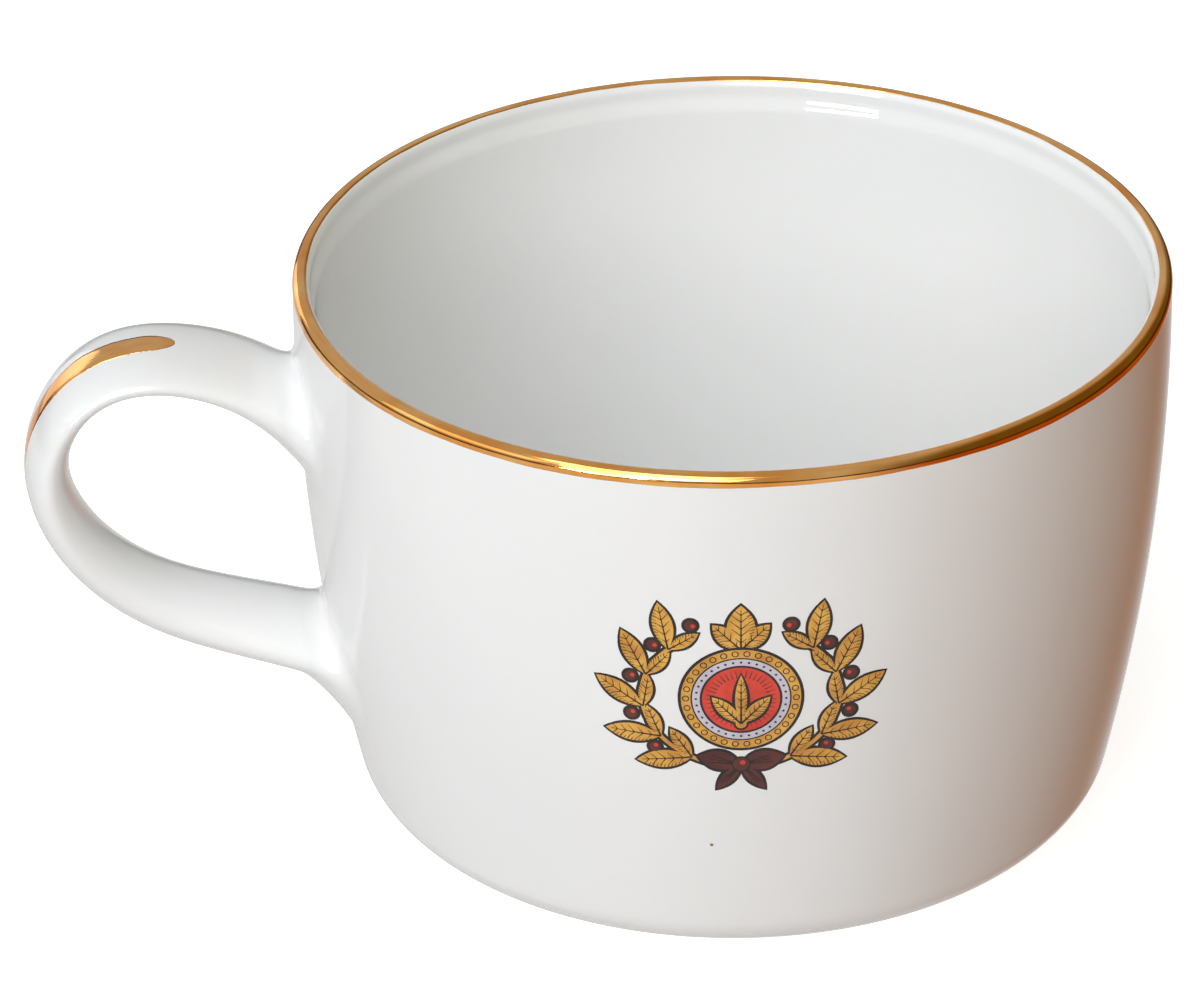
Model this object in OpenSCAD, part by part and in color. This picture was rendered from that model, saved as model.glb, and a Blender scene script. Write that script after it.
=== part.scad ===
// Porcelain teacup with a strap handle, a gilded lip and a printed botanical emblem.
// The axis is Z, the foot stands on Z = 0 and the handle points along -X.

/* [Bowl] */
// Outer diameter over the lip
rim_d = 85; // [70:1:110]
// Height from the table to the top of the lip
cup_h = 59; // [48:1:80]
// Radius of the gentle outward bow of the side, seen in section
bow_r = 220; // [150:5:600]
// Drop from the lip to the widest ring of the side
bow_drop = 6.5; // [4:0.5:12]
// Outer radius where the side turns into the underside
corner_r = 5; // [3:0.5:8]
// Rise of the underside from the foot to the corner, in degrees
underside_slope = 15.5; // [5:0.5:25]
// Thickness of the wall
wall_t = 2.4; // [2:0.1:3]
// Thickness of the rounded lip
lip_t = 1.7; // [1.2:0.1:2]
// Depth over which the lip swells to the full wall
shoulder_h = 4; // [2:0.5:8]
// Thickness of the floor
floor_t = 3; // [2:0.1:5]
// Inner radius between the wall and the floor
inner_corner_r = 10; // [5:0.5:12]

/* [Foot ring] */
// Outer diameter of the foot ring
foot_d = 57; // [44:1:60]
// Height of the foot ring
foot_h = 2; // [1:0.1:3]
// Width of the foot ring where it joins the bowl
foot_root_w = 4; // [3:0.1:6]
// Width of the band that touches the table
foot_land_w = 1.8; // [1.2:0.1:2.4]
// Bevel on the outer edge of the land
foot_bevel = 0.4; // [0.2:0.1:0.6]

/* [Handle] */
// Distance from the rim out to the furthest point of the centre line
handle_reach = 24.5; // [20:0.5:32]
// Drop from the lip to the centre of the upper joint
upper_joint_drop = 12.5; // [11:0.5:16]
// Height of the centre of the lower joint above the table
lower_joint_z = 20; // [17:0.5:24]
// Thickness of the strap at the grip
handle_t = 4; // [3:0.1:5]
// Width of the strap at the grip
handle_w = 12; // [9:0.5:15]
// Size of the slip fillet round each joint
joint_r = 1.8; // [1:0.1:2.5]

/* [Gilding] */
// Thickness of the gold film
gold_t = 0.1; // [0.05:0.01:0.2]
// How far the gold runs over the lip, in degrees from its outer side
gold_wrap = 125; // [90:5:160]
// How far the gold runs down the outside of the wall
gold_drop = 0.3; // [0.1:0.1:3]
// Width of the gold stroke on the back of the handle
stroke_w = 3.2; // [1:0.1:3.4]
// Start of the stroke, as a part of the handle's length from the upper joint
stroke_from = 0.23; // [0.1:0.01:0.3]
// End of the stroke, as a part of the handle's length from the upper joint
stroke_to = 0.62; // [0.5:0.01:0.75]

/* [Emblem] */
// Direction that the emblem faces, in degrees round the axis from +X
emblem_turn = -98.5; // [-120:0.5:-60]
// Drop from the lip to the emblem's centre
emblem_drop = 24; // [20:0.5:28]
// Radius of the red disc in the middle
disc_r = 3.7; // [3:0.1:4.2]
// Width of the pale band round the disc
pale_w = 1; // [0.7:0.1:1.2]
// Width of the ochre band round the pale one
band_w = 0.9; // [0.5:0.1:1.2]
// Gap from the medallion to the stem of the wreath
wreath_gap = 2.2; // [1.8:0.1:3]
// Length of an outer leaf of the wreath
leaf_l = 5.4; // [4:0.1:6]
// Width of an outer leaf of the wreath
leaf_w = 2; // [1.4:0.1:2.4]
// Radius of a berry
berry_r = 0.55; // [0.4:0.05:0.7]
// Margin of the dark ground round every coloured shape
outline_w = 0.3; // [0.15:0.05:0.5]
// Thickness of one printed layer
ink_t = 0.1; // [0.05:0.01:0.2]

/* [Hidden] */
$fn = 96;

rim_r = rim_d / 2;
foot_r = foot_d / 2;
lip_r = lip_t / 2;
lip_z = cup_h - lip_r;
widest_z = cup_h - bow_drop;
floor_z = foot_h + floor_t;

// The side is one circular arc: its centre lies on the level of the widest ring
bow_x = rim_r - sqrt(bow_r ^ 2 - (lip_z - widest_z) ^ 2);
function side_r(z) = bow_x + sqrt(bow_r ^ 2 - (z - widest_z) ^ 2);

// Centre of the outer corner arc, tangent to the underside cone and to the side arc
slope_dir = [cos(underside_slope), sin(underside_slope)];
slope_up = [-sin(underside_slope), cos(underside_slope)];
corner_start = [foot_r, foot_h] + corner_r * slope_up - [bow_x, widest_z];
corner_run = -corner_start * slope_dir
    + sqrt((corner_start * slope_dir) ^ 2 - corner_start * corner_start + (bow_r - corner_r) ^ 2);
corner_c = corner_start + corner_run * slope_dir + [bow_x, widest_z];
corner_end = atan2(corner_c[1] - widest_z, corner_c[0] - bow_x);

// Centre of the inner corner arc, tangent to the floor and to the inner side
inner_x = bow_x - wall_t;
inner_c_z = floor_z + inner_corner_r;
inner_c = [inner_x + sqrt((bow_r - inner_corner_r) ^ 2 - (inner_c_z - widest_z) ^ 2), inner_c_z];
inner_end = atan2(inner_c[1] - widest_z, inner_c[0] - inner_x);
shoulder_z = lip_z - shoulder_h;
shoulder_end = asin((shoulder_z - widest_z) / bow_r);

function arc(c, r, from, to, steps) =
    [for (i = [0:steps]) let (a = from + (to - from) * i / steps) c + r * [cos(a), sin(a)]];
function ease(t) = t * t * (3 - 2 * t);
function reversed(list) = [for (i = [len(list) - 1:-1:0]) list[i]];

side_steps = 9;
gold_foot_z = lip_z - gold_drop;
gold_foot_end = asin((gold_foot_z - widest_z) / bow_r);
function side_arc(grow) =
    arc([bow_x, widest_z], bow_r + grow, corner_end, gold_foot_end, side_steps);
lip_c = [rim_r - lip_r, lip_z];
outer_side = side_arc(0);
gilded_lip = arc(lip_c, lip_r, 0, gold_wrap, 8);
bare_lip = arc(lip_c, lip_r, gold_wrap, 180, 4);
shoulder = [for (i = [1:5]) let (t = i / 6, z = lip_z - shoulder_h * t)
    [side_r(z) - lip_t - (wall_t - lip_t) * ease(t), z]];
inner_side = arc([inner_x, widest_z], bow_r, shoulder_end, inner_end, side_steps);
inner_corner = arc(inner_c, inner_corner_r, inner_end, -90, 8);
underside = concat([[0, foot_h], [foot_r, foot_h]],
                   arc(corner_c, corner_r, underside_slope - 90, corner_end, 8));

// Handle: a clamped centre line in the plane of the X and Z axes.
// Each row is [reach outwards, rise from the lower joint, thickness, width], as factors.
handle_path = [
    [-0.45, 0.42, 2.4, 1.4],
    [-0.02, 1.06, 1.6, 1.3],
    [0.41, 1.28, 0.9, 1.15],
    [0.86, 1.28, 0.8, 1.05],
    [1.12, 0.81, 1.15, 0.9],
    [0.69, 0.21, 1.3, 0.95],
    [-0.33, 0.04, 1.3, 1.3],
    [-0.24, -0.42, 1.4, 1.7]];
upper_joint_z = cup_h - upper_joint_drop;
handle_scale = [handle_reach, upper_joint_z - lower_joint_z, handle_t / 2, handle_w / 2];
handle_base = [rim_r, lower_joint_z, 0, 0];
handle_knots = [for (p = handle_path) [for (i = [0:3]) handle_base[i] + handle_scale[i] * p[i]]];
ring_n = 24;
handle_steps = 42;
root_depth = 0.1;
feather_t = 0.1;

// Uniform cubic B-spline through the knots, and its slope; it runs straight on past its ends
function knot_span(s) = min(max(floor(s * (len(handle_knots) - 3)), 0), len(handle_knots) - 4);
function spline(s) =
    let (k = knot_span(s), t = s * (len(handle_knots) - 3) - k, p = handle_knots)
    ((1 - t) ^ 3 * p[k] + (3 * t ^ 3 - 6 * t ^ 2 + 4) * p[k + 1]
    + (-3 * t ^ 3 + 3 * t ^ 2 + 3 * t + 1) * p[k + 2] + t ^ 3 * p[k + 3]) / 6;
function slope(s) =
    let (k = knot_span(s), t = s * (len(handle_knots) - 3) - k, p = handle_knots)
    (len(handle_knots) - 3) * (-(1 - t) ^ 2 * p[k] + (3 * t ^ 2 - 4 * t) * p[k + 1]
    + (-3 * t ^ 2 + 2 * t + 1) * p[k + 2] + t ^ 2 * p[k + 3]) / 2;
function clamp01(s) = min(max(s, 0), 1);
function station(s) = spline(clamp01(s)) + (s - clamp01(s)) * slope(clamp01(s));
function unit(v) = v / norm(v);

// Point on the strap's oval section, and the section's outward normal there
function strap_normal(s) = let (d = slope(clamp01(s)), u = unit([d[0], d[1]])) [u[1], 0, u[0]];
function strap_point(s, a) =
    let (c = station(s), w = spline(clamp01(s)))
    [-c[0], 0, c[1]] + w[2] * cos(a) * strap_normal(s) + [0, w[3] * sin(a), 0];
function strap_out(s, a) =
    let (w = spline(clamp01(s))) unit(cos(a) / w[2] * strap_normal(s) + [0, sin(a) / w[3], 0]);
function strap_ring(s) = [for (j = [0:ring_n - 1]) strap_point(s, 360 * j / ring_n)];

// Distance of a point from the bowl's side, and the place on the strap where it has a given value
function wall_gap(p) = norm([p[0], p[1]]) - side_r(p[2]);
function place_at(gap, a, inside, outside, n = 16) =
    let (mid = (inside + outside) / 2)
    n == 0 ? mid
    : wall_gap(strap_point(mid, a)) < gap ? place_at(gap, a, mid, outside, n - 1)
    : place_at(gap, a, inside, mid, n - 1);
function fillet_point(gap, proud, a, inside, outside) =
    let (s = place_at(gap, a, inside, outside), p = strap_point(s, a), n = strap_out(s, a),
         w = unit([p[0], p[1], 0]))
    p + proud * unit(n - (n * w) * w);
function fillet_ring(gap, proud, inside, outside) =
    [for (j = [0:ring_n - 1]) fillet_point(gap, proud, 360 * j / ring_n, inside, outside)];

// Closed skin over a row of rings, each cap a fan round its middle point
function middle(ring) = [for (i = [0:2]) [for (p = ring) p[i]] * [for (p = ring) 1] / len(ring)];
module skin(rings) {
    n = len(rings[0]);
    last = len(rings) - 1;
    points = concat([for (r = rings) each r], [middle(rings[0]), middle(rings[last])]);
    sides = [for (i = [0:last - 1]) for (j = [0:n - 1]) let (k = (j + 1) % n)
        each [[i * n + k, i * n + j, (i + 1) * n + k], [(i + 1) * n + k, i * n + j, (i + 1) * n + j]]];
    caps = [for (j = [0:n - 1]) let (k = (j + 1) % n)
        each [[(last + 1) * n, j, k], [(last + 1) * n + 1, last * n + k, last * n + j]]];
    polyhedron(points, concat(sides, caps));
}

// Emblem: everything is drawn flat, X to the right and Y up, and then wrapped on the wall
medallion_r = disc_r + pale_w + band_w;
wreath_r = [medallion_r + wreath_gap + 1.5, medallion_r + wreath_gap];
leaf_count = 5;
leaf_step = 26;
leaf_first = -60;
leaf_spread = 42;
inner_leaf = 0.7;
stem_w = 0.4;
bow_y = -medallion_r - 1.9;
wrap_depth = 14;

function wreath_point(a, proud = 0) = [(wreath_r[0] + proud) * cos(a), (wreath_r[1] + proud) * sin(a)];

// Pointed oval from the origin along X, or the same shape with a margin all round
module leaf(l, w, grow = 0) {
    full_l = l + 2 * grow;
    full_w = w + 2 * grow;
    r = (full_l ^ 2 + full_w ^ 2) / (4 * full_w);
    translate([l / 2, 0]) intersection() {
        translate([0, r - full_w / 2]) circle(r);
        translate([0, full_w / 2 - r]) circle(r);
    }
}

module on_both_sides() {
    for (side = [0, 1]) mirror([side, 0]) children();
}

module ring(outer, width) {
    difference() {
        circle(outer);
        circle(outer - width);
    }
}

module stem(grow = 0) {
    angles = [leaf_first - 10:10:leaf_first + leaf_step * (leaf_count - 0.8)];
    side = stem_w / 2 + grow;
    polygon(concat([for (a = angles) wreath_point(a, side)],
                   reversed([for (a = angles) wreath_point(a, -side)])));
}

module wreath(grow = 0) {
    on_both_sides() {
        stem(grow);
        for (i = [0:leaf_count - 1]) let (a = leaf_first + leaf_step * i) translate(wreath_point(a)) {
            rotate(a + leaf_spread) leaf(leaf_l, leaf_w, grow);
            rotate(a + 108) leaf(leaf_l * inner_leaf, leaf_w * inner_leaf, grow);
        }
    }
}

module palmette(grow = 0) {
    translate([0, medallion_r]) {
        rotate(90) leaf(leaf_l * 0.9, leaf_w * 1.3, grow);
        on_both_sides() rotate(46) leaf(leaf_l * inner_leaf, leaf_w * 0.9, grow);
    }
}

// Two young leaves and a bud on the disc
module sprig(grow = 0) {
    translate([0, -disc_r * 0.75]) {
        circle(disc_r * 0.14 + grow);
        rotate(90) leaf(disc_r * 1.5, disc_r * 0.3, grow);
        on_both_sides() rotate(48) leaf(disc_r * 1.1, disc_r * 0.38, grow);
    }
}

module berries(grow = 0) {
    on_both_sides() for (i = [0:leaf_count - 1])
        translate(wreath_point(leaf_first + leaf_step * (i + 0.78), 1.3)) circle(berry_r + grow);
}

module bow(grow = 0) {
    translate([0, bow_y]) {
        circle(berry_r * 1.4 + grow);
        on_both_sides() {
            rotate(12) leaf(4.2, 2.2, grow);
            rotate(-52) leaf(3.8, 1.2, grow);
        }
    }
}

// Thin layer of the wall's own shape, from one height over the glaze to another
module wall_skin(low, high) {
    rotate_extrude() polygon(concat(side_arc(low), reversed(side_arc(high))));
}

module print_layer(low, high) {
    intersection() {
        wall_skin(low, high);
        rotate(emblem_turn + 90) translate([0, wrap_depth - rim_r, cup_h - emblem_drop])
            rotate([90, 0, 0]) linear_extrude(2 * wrap_depth) children();
    }
}

// Solid that fills the bowl's outer shape, used to cut what is stuck to the wall
module bowl_blank() {
    rotate_extrude($fn = 360) polygon(concat(underside, outer_side, [[0, gold_foot_z]]));
}

module strap() {
    skin([for (i = [0:handle_steps]) strap_ring(-root_depth + (1 + 2 * root_depth) * i / handle_steps)]);
}

module slip_fillet(inside, outside) {
    legs = concat([[-1.5, joint_r + feather_t]],
        [for (t = [0:15:90]) [joint_r * (1 - cos(t)), joint_r * (1 - sin(t)) + feather_t]]);
    order = inside < outside ? [0:len(legs) - 1] : [len(legs) - 1:-1:0];
    difference() {
        skin([for (i = order) fillet_ring(legs[i][0], legs[i][1], inside, outside)]);
        strap();
        bowl_blank();
    }
}

module bowl() {
    color("ghostwhite") rotate_extrude() polygon(concat(
        underside, outer_side, gilded_lip, bare_lip, shoulder, inner_side, inner_corner,
        [[0, floor_z]]));
}

module foot_ring() {
    land_r = foot_r - foot_bevel;
    color("antiquewhite") rotate_extrude() polygon([
        [foot_r - foot_root_w, foot_h],
        [land_r - foot_land_w, 0],
        [land_r, 0],
        [foot_r, foot_bevel],
        [foot_r, foot_h]]);
}

module handle() {
    color("ghostwhite") difference() {
        strap();
        bowl_blank();
    }
}

module handle_upper_joint() {
    color("ghostwhite") slip_fillet(-root_depth, 0.3);
}

module handle_lower_joint() {
    color("ghostwhite") slip_fillet(1 + root_depth, 0.7);
}

module rim_gilding() {
    color("goldenrod") rotate_extrude() polygon(concat(
        [outer_side[side_steps], side_arc(gold_t)[side_steps]],
        arc(lip_c, lip_r + gold_t, 0, gold_wrap, 8),
        reversed(gilded_lip)));
}

// The stroke lies in the two facets beside the strap's outer ridge
module handle_gilding() {
    first = ceil((stroke_from + root_depth) / (1 + 2 * root_depth) * handle_steps);
    last = floor((stroke_to + root_depth) / (1 + 2 * root_depth) * handle_steps);
    rings = [for (i = [first:last]) let (
        s = -root_depth + (1 + 2 * root_depth) * i / handle_steps,
        t = (i - first + 0.5) / (last - first + 1),
        ridge = strap_point(s, 0),
        left = strap_point(s, -360 / ring_n),
        right = strap_point(s, 360 / ring_n),
        share = min(stroke_w / 2 / norm(right - ridge), 1) * sin(180 * t) ^ 0.6,
        up = gold_t * strap_normal(s))
        [ridge, ridge + share * (left - ridge), ridge + share * (left - ridge) + up, ridge + up,
         ridge + share * (right - ridge) + up, ridge + share * (right - ridge)]];
    color("goldenrod") skin(rings);
}

module emblem_ground() {
    color("#2b1a10") print_layer(0, ink_t) {
        circle(medallion_r + outline_w);
        wreath(outline_w);
        palmette(outline_w);
        berries(outline_w);
        bow(outline_w);
    }
}

module emblem_wreath() {
    color("#d9962d") print_layer(ink_t, 2 * ink_t) {
        ring(medallion_r, band_w);
        sprig();
        difference() {
            union() {
                wreath();
                palmette();
            }
            circle(medallion_r + outline_w);
            bow(outline_w);
        }
    }
}

module emblem_pale_band() {
    color("#cdc8d7") print_layer(ink_t, 2 * ink_t) ring(disc_r + pale_w - outline_w / 2, pale_w - outline_w);
}

module emblem_disc() {
    color("#d7462d") print_layer(ink_t, 2 * ink_t) difference() {
        circle(disc_r);
        sprig(outline_w / 2);
    }
}

module emblem_berries() {
    color("#5a231e") print_layer(ink_t, 2 * ink_t) berries();
}

module emblem_bow() {
    color("#5a231e") print_layer(ink_t, 2 * ink_t) bow();
}

bowl();
foot_ring();
handle();
handle_upper_joint();
handle_lower_joint();
rim_gilding();
handle_gilding();
emblem_ground();
emblem_wreath();
emblem_pale_band();
emblem_disc();
emblem_berries();
emblem_bow();
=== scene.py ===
import math

import bpy
import numpy as np
from mathutils import Matrix, Vector, geometry


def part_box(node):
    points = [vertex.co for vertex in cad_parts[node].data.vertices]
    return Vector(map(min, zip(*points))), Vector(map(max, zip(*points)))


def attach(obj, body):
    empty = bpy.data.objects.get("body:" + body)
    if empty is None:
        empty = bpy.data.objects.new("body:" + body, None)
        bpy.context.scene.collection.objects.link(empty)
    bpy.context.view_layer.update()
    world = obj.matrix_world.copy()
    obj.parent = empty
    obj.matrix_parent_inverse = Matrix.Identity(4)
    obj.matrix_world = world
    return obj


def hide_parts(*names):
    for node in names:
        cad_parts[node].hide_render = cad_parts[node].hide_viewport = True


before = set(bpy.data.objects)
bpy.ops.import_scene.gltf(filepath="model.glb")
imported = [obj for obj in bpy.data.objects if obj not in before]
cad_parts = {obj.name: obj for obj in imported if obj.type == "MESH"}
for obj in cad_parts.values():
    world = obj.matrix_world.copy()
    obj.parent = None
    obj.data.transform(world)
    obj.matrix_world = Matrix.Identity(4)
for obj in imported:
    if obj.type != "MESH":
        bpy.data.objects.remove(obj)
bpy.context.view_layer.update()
mm = 0.001
print("frame loaded with", len(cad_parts), "CAD nodes")

bowlLow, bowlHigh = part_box("bowl")
rimRadius = bowlHigh.x
cupHeight = bowlHigh.z
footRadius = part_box("foot_ring")[1].x
footTop = bowlLow.z  # underside of the bowl inside the foot ring


def addNode(tree, kind, wires=(), **settings):
    node = tree.nodes.new(kind)
    for key, value in settings.items():
        setattr(node, key, value)
    for slot, value in (wires.items() if isinstance(wires, dict) else enumerate(wires)):
        if isinstance(value, bpy.types.NodeSocket):
            tree.links.new(value, node.inputs[slot])
        elif value is not None:
            node.inputs[slot].default_value = value
    return node


def calc(tree, operation, *values):
    return addNode(tree, "ShaderNodeMath", values, operation=operation).outputs[0]


def plus(tree, a, b):
    return calc(tree, "ADD", a, b)


def times(tree, a, b):
    return calc(tree, "MULTIPLY", a, b)


def split(tree, vector):
    return addNode(tree, "ShaderNodeSeparateXYZ", [vector]).outputs


def objectSpot(tree):
    return addNode(tree, "ShaderNodeTexCoord").outputs["Object"]


def noise(tree, spot, scale, detail):
    return addNode(tree, "ShaderNodeTexNoise", {"Vector": spot, "Scale": scale, "Detail": detail}).outputs[0]


def newTree(name, kind, inputs, outputs):
    tree = bpy.data.node_groups.new(name, kind)
    for label, socketType, value in inputs:
        socket = tree.interface.new_socket(label, in_out="INPUT", socket_type="NodeSocket" + socketType)
        if value is not None:
            socket.default_value = value
    for label, socketType in outputs:
        tree.interface.new_socket(label, in_out="OUTPUT", socket_type="NodeSocket" + socketType)
    return tree, addNode(tree, "NodeGroupInput").outputs


def finishTree(tree, shape, finish):
    whole = addNode(tree, "GeometryNodeRealizeInstances", [shape]).outputs[0]
    coated = addNode(tree, "GeometryNodeSetMaterial", {"Geometry": whole, "Material": finish}).outputs[0]
    addNode(tree, "NodeGroupOutput", [coated])


outOfRound = [(2, 0.0, 0.5), (3, 35.0, 0.3), (5, -80.0, 0.2)]  # turns, lean with height, share
steadyCore = 20 * mm  # within this radius the unevenness fades to nothing


# A profile of (radius, height) points turned round the axis
def buildLathe():
    tree, given = newTree("turnedOnTheWheel", "GeometryNodeTree", [
        ("Profile", "Object", None),
        ("Sides", "Int", 192),
        ("Wander", "Float", 0.0),
        ("Seed", "Float", 1.0),
        ("Finish", "Material", None)], [("Geometry", "Geometry")])
    profile = addNode(tree, "GeometryNodeObjectInfo", [given["Profile"]]).outputs["Geometry"]
    rows = addNode(tree, "GeometryNodeAttributeDomainSize", [profile]).outputs["Point Count"]
    columns = plus(tree, given["Sides"], 1.0)
    grid = addNode(tree, "GeometryNodeMeshGrid", {"Vertices X": rows, "Vertices Y": columns}).outputs["Mesh"]
    index = addNode(tree, "GeometryNodeInputIndex").outputs[0]
    row = calc(tree, "FLOOR", calc(tree, "DIVIDE", plus(tree, index, 0.5), columns))
    column = calc(tree, "SUBTRACT", index, times(tree, row, columns))
    place = addNode(tree, "GeometryNodeInputPosition").outputs[0]
    sample = addNode(tree, "GeometryNodeSampleIndex", {"Geometry": profile, "Value": place, "Index": row},
                     data_type="FLOAT_VECTOR").outputs[0]
    point = split(tree, sample)
    angle = calc(tree, "DIVIDE", times(tree, column, math.tau), given["Sides"])
    across, along = calc(tree, "COSINE", angle), calc(tree, "SINE", angle)
    waves = None
    for turns, lean, size in outOfRound:
        phase = plus(tree, times(tree, angle, turns), times(tree, point["Z"], lean))
        wave = calc(tree, "SINE", plus(tree, phase, times(tree, given["Seed"], turns)))
        wave = times(tree, wave, size)
        waves = plus(tree, waves, wave) if waves else wave
    stray = times(tree, waves, given["Wander"])
    share = calc(tree, "MINIMUM", calc(tree, "DIVIDE", point["X"], steadyCore), 1.0)
    radius = plus(tree, point["X"], times(tree, stray, share))
    turned = addNode(tree, "ShaderNodeCombineXYZ", [times(tree, radius, across),
                     times(tree, radius, along), point["Z"]]).outputs[0]
    moved = addNode(tree, "GeometryNodeSetPosition", {"Geometry": grid, "Position": turned}).outputs[0]
    closed = addNode(tree, "GeometryNodeMergeByDistance", {"Geometry": moved, "Distance": 1e-6}).outputs[0]
    finishTree(tree, closed, given["Finish"])
    return tree


# Copies of a flat shape along a flat path, each turned with the path
def buildRow():
    tree, given = newTree("setAlongPath", "GeometryNodeTree", [
        ("Path", "Object", None),
        ("Shape", "Object", None),
        ("Count", "Int", 5),
        ("Turn", "Float", 0.0),
        ("First Size", "Float", 1.0),
        ("Last Size", "Float", 1.0),
        ("Turn Play", "Float", 0.0),
        ("Seed", "Int", 3),
        ("Finish", "Material", None)], [("Geometry", "Geometry")])
    path = addNode(tree, "GeometryNodeObjectInfo", [given["Path"]]).outputs["Geometry"]
    curve = addNode(tree, "GeometryNodeMeshToCurve", [path]).outputs[0]
    spots = addNode(tree, "GeometryNodeResampleCurve", {"Curve": curve, "Count": given["Count"]}).outputs[0]
    heading = split(tree, addNode(tree, "GeometryNodeInputTangent").outputs[0])
    ahead = calc(tree, "ARCTAN2", heading["Y"], heading["X"])
    chance = addNode(tree, "FunctionNodeRandomValue", {"Seed": given["Seed"]}, data_type="FLOAT").outputs[1]
    play = times(tree, calc(tree, "SUBTRACT", chance, 0.5), given["Turn Play"])
    turn = plus(tree, plus(tree, ahead, given["Turn"]), play)
    spin = addNode(tree, "FunctionNodeEulerToRotation",
                   [addNode(tree, "ShaderNodeCombineXYZ", [0.0, 0.0, turn]).outputs[0]]).outputs[0]
    index = addNode(tree, "GeometryNodeInputIndex").outputs[0]
    last = calc(tree, "MAXIMUM", calc(tree, "SUBTRACT", given["Count"], 1.0), 1.0)
    share = calc(tree, "DIVIDE", index, last)
    growth = calc(tree, "SUBTRACT", given["Last Size"], given["First Size"])
    size = plus(tree, given["First Size"], times(tree, share, growth))
    shape = addNode(tree, "GeometryNodeObjectInfo", [given["Shape"]]).outputs["Geometry"]
    placed = addNode(tree, "GeometryNodeInstanceOnPoints", {
        "Points": spots, "Instance": shape, "Rotation": spin, "Scale": size}).outputs[0]
    finishTree(tree, placed, given["Finish"])
    return tree


def keepObject(name, data):
    piece = bpy.data.objects.new(name, data)
    bpy.context.scene.collection.objects.link(piece)
    return piece


def dropObject(piece):
    bpy.data.objects.remove(piece, do_unlink=True)


# Runs a geometry tree with the given inputs and returns its result as a plain mesh
def growMesh(name, tree, values):
    carrier = keepObject(name + "Carrier", bpy.data.meshes.new(name + "Carrier"))
    modifier = carrier.modifiers.new("tree", "NODES")
    modifier.node_group = tree
    sockets = {item.name: item.identifier for item in tree.interface.items_tree
               if item.item_type == "SOCKET" and item.in_out == "INPUT"}
    for label, value in values.items():
        modifier[sockets[label]] = value
    bpy.context.view_layer.update()
    grown = carrier.evaluated_get(bpy.context.evaluated_depsgraph_get())
    mesh = bpy.data.meshes.new_from_object(grown)
    mesh.name = name
    carrier.modifiers.remove(modifier)
    dropObject(carrier)
    return mesh


# Fine specks scattered in the glaze, and one iron spot at a chosen place
def buildKilnSpecks():
    tree, given = newTree("kilnSpecks", "ShaderNodeTree", [
        ("Density", "Float", 70.0),
        ("Share", "Float", 0.04),
        ("Size", "Float", 0.012),
        ("Mark", "Vector", None),
        ("Mark Size", "Float", 0.0)], [("Speck", "Float")])
    spot = objectSpot(tree)
    cells = addNode(tree, "ShaderNodeTexVoronoi", {"Vector": spot, "Scale": given["Density"]}).outputs
    luck = addNode(tree, "ShaderNodeSeparateColor", [cells["Color"]]).outputs[0]
    chosen = calc(tree, "LESS_THAN", luck, given["Share"])
    near = calc(tree, "LESS_THAN", cells["Distance"], given["Size"])
    away = addNode(tree, "ShaderNodeVectorMath", [spot, given["Mark"]], operation="DISTANCE").outputs
    marked = calc(tree, "LESS_THAN", away["Value"], given["Mark Size"])
    addNode(tree, "NodeGroupOutput", [calc(tree, "MAXIMUM", times(tree, chosen, near), marked)])
    return tree


# Slow waves of the glaze, and a fine unevenness of its gloss
def buildGlazeRipple():
    tree, given = newTree("glazeRipple", "ShaderNodeTree", [
        ("Broad Scale", "Float", 55.0),
        ("Fine Scale", "Float", 420.0),
        ("Fine Share", "Float", 0.06),
    ], [("Height", "Float"), ("Gloss", "Float")])
    spot = objectSpot(tree)
    fine = noise(tree, spot, given["Fine Scale"], 2.0)
    height = plus(tree, noise(tree, spot, given["Broad Scale"], 1.5),
                  times(tree, fine, given["Fine Share"]))
    addNode(tree, "NodeGroupOutput", [height, fine])
    return tree


# Direction round the axis, used by whatever was brushed or ground on a turning wheel
def buildRoundAxis():
    tree, given = newTree("roundTheAxis", "ShaderNodeTree", [
        ("Around", "Float", 1.0),
        ("Across", "Float", 1.0)], [("Vector", "Vector")])
    spot = split(tree, objectSpot(tree))
    angle = calc(tree, "ARCTAN2", spot["Y"], spot["X"])
    radius = calc(tree, "SQRT", plus(tree, calc(tree, "POWER", spot["X"], 2.0),
                                     calc(tree, "POWER", spot["Y"], 2.0)))
    vector = addNode(tree, "ShaderNodeCombineXYZ", [times(tree, angle, given["Around"]),
                     times(tree, radius, given["Across"]),
                     times(tree, spot["Z"], given["Across"])]).outputs[0]
    addNode(tree, "NodeGroupOutput", [vector])
    return tree


kilnSpecks, glazeRipple, roundAxis = buildKilnSpecks(), buildGlazeRipple(), buildRoundAxis()


def newFinish(name, constants):
    finish = bpy.data.materials.new(name)
    finish.use_nodes = True
    tree = finish.node_tree
    shader = tree.nodes["Principled BSDF"]
    for label, value in constants.items():
        shader.inputs[label].default_value = value
    return finish, tree, shader


def useGroup(tree, group, values=()):
    return addNode(tree, "ShaderNodeGroup", values, node_tree=group).outputs


def blendColour(tree, factor, low, high):
    node = addNode(tree, "ShaderNodeMix", data_type="RGBA")
    for slot, value in ((0, factor), (6, low), (7, high)):
        if isinstance(value, bpy.types.NodeSocket):
            tree.links.new(value, node.inputs[slot])
        else:
            node.inputs[slot].default_value = value if slot == 0 else (*value, 1.0)
    return node.outputs[2]


def stretch(tree, value, fromLow, fromHigh, toLow, toHigh):
    return addNode(tree, "ShaderNodeMapRange", [value, fromLow, fromHigh, toLow, toHigh]).outputs[0]


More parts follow.
